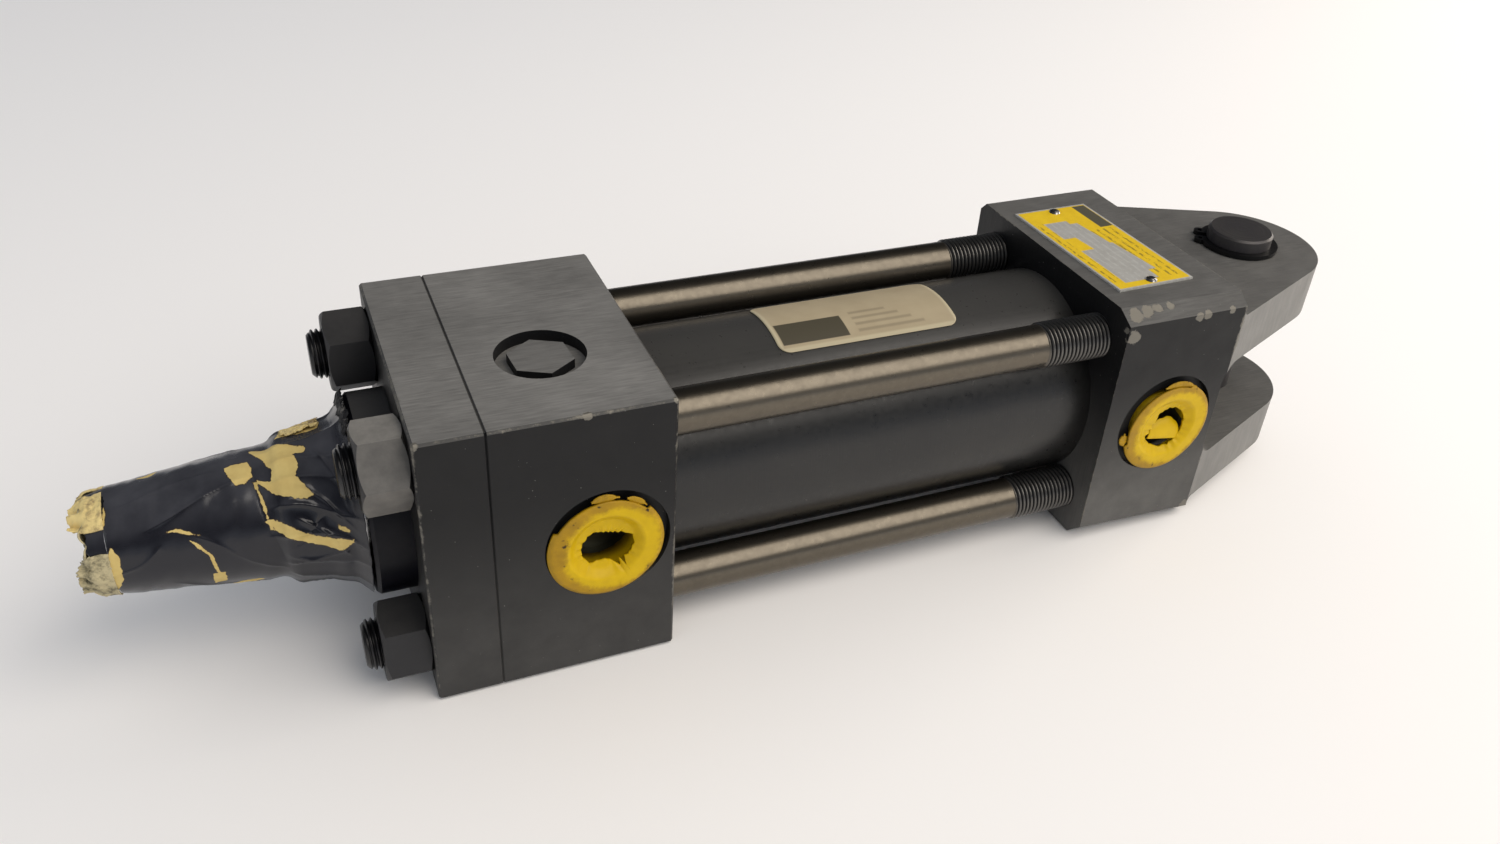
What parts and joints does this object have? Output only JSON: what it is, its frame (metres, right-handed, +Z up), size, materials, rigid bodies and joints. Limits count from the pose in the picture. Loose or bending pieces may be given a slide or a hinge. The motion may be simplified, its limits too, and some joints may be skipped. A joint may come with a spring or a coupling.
{
  "type": "hydraulic tie-rod cylinder",
  "caption": "Square-headed tie-rod hydraulic cylinder with a fixed clevis and pin, side ports closed by transit plugs and a wrapped threaded rod end.",
  "frame": {"origin": "under the middle of the overall length, on the plane that the blocks' undersides rest on, below the cylinder's axis", "axes": "+X along the cylinder from the rod end towards the clevis, +Z up out of the nameplate's face, -Y out of the two ports"},
  "size_m": [0.3532, 0.0771, 0.0775],
  "materials": {
    "block_paint": "satin black paint on machined steel",
    "tube_paint": "satin black paint on a steel tube",
    "tie_rod_steel": "black paint over drawn steel",
    "nut_steel": "black paint over forged steel",
    "plug_steel": "thin black paint over turned steel",
    "pin_steel": "dark ground steel",
    "spring_steel": "blackened spring steel",
    "gland_iron": "turned",
    "piston_iron": "turned",
    "rod_chrome": "hard chrome plate",
    "seal_rubber": "matte",
    "seal_fibre": "matte",
    "label_film": "aged paper-like film",
    "plug_plastic": "moulded polyethylene",
    "plate_metal": "stamped and lacquered",
    "rivet_metal": "domed",
    "wrap_tape": "wrinkled tape over paper"
  },
  "bodies": {
    "barrel": {"retainer_plate": "block_paint", "front_head": "block_paint", "head_check_plug": "plug_steel", "gland_bush": "gland_iron", "gland_o_ring": "seal_rubber", "rod_wiper": "seal_rubber", "rod_lip_seal": "seal_rubber", "cylinder_tube": "tube_paint", "tube_seal_front": "seal_fibre", "tube_seal_rear": "seal_fibre", "tube_label": "label_film", "tie_rod_1": "tie_rod_steel", "tie_rod_2": "tie_rod_steel", "tie_rod_3": "tie_rod_steel", "tie_rod_4": "tie_rod_steel", "tie_rod_nuts": "nut_steel", "rear_cap": "block_paint", "front_port_plug": "plug_plastic", "rear_port_plug": "plug_plastic", "nameplate": "plate_metal", "nameplate_rivets": "rivet_metal"},
    "piston_pack": {"piston_seal_front": "seal_rubber", "piston_seal_rear": "seal_rubber", "piston_wear_ring": "seal_fibre"},
    "rod": {"piston": "piston_iron", "cushion_sleeve": "piston_iron", "piston_rod": "rod_chrome", "rod_wrap": "wrap_tape"},
    "pin": {"clevis_pin": "pin_steel", "pin_snap_rings": "spring_steel"}
  },
  "joints": [
    {"name": "rod_slide", "type": "slide", "parent": "barrel", "child": "piston_pack", "axis": [-1, 0, 0], "range_m": [0, 0.09208]},
    {"name": "rod_turn", "type": "hinge", "parent": "piston_pack", "child": "rod", "pos_m": [0, 0, 0.0381], "axis": [-1, 0, 0], "continuous": true},
    {"name": "pin_turn", "type": "hinge", "parent": "barrel", "child": "pin", "pos_m": [0.15284, 0, 0.0381], "axis": [0, 0, 1], "continuous": true}
  ]
}
